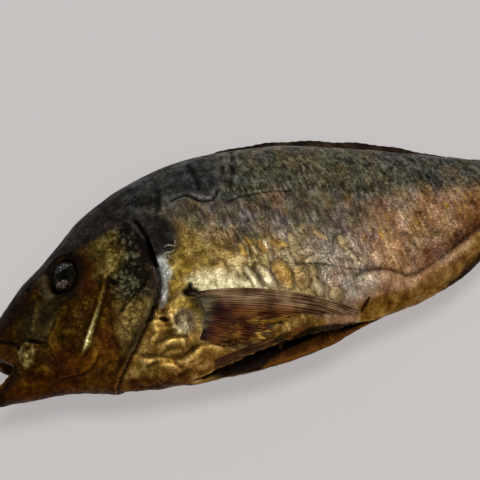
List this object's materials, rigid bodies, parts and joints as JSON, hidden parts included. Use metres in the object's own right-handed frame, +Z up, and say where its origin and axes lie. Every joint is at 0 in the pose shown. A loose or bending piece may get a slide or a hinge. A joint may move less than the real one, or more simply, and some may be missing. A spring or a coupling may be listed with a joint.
{
  "type": "smoked fish",
  "caption": "Whole hot-smoked bream-shaped fish with head, fins and forked tail, gutted through a slit belly, lying on its right side.",
  "frame": {"origin": "middle of the bottom of the whole fish's box, on the surface that it lies on", "axes": "+X from the head to the tail, +Y from the belly to the back, +Z up through the left flank"},
  "size_m": [0.3072, 0.1014, 0.0395],
  "materials": {
    "smoked_skin": "oily smoked skin, satin with a dull golden shine",
    "dried_eye": "shrunken, wrinkled, half gloss",
    "fin": "dry, thin and rayed, satin"
  },
  "bodies": {
    "root": {"body": "smoked_skin", "eye_left": "dried_eye", "eye_right": "dried_eye", "pectoral_fin_left": "fin", "pectoral_fin_right": "fin", "pelvic_fin_left": "fin", "pelvic_fin_right": "fin", "dorsal_fin": "fin", "anal_fin": "fin", "tail_fin": "fin"}
  },
  "joints": []
}
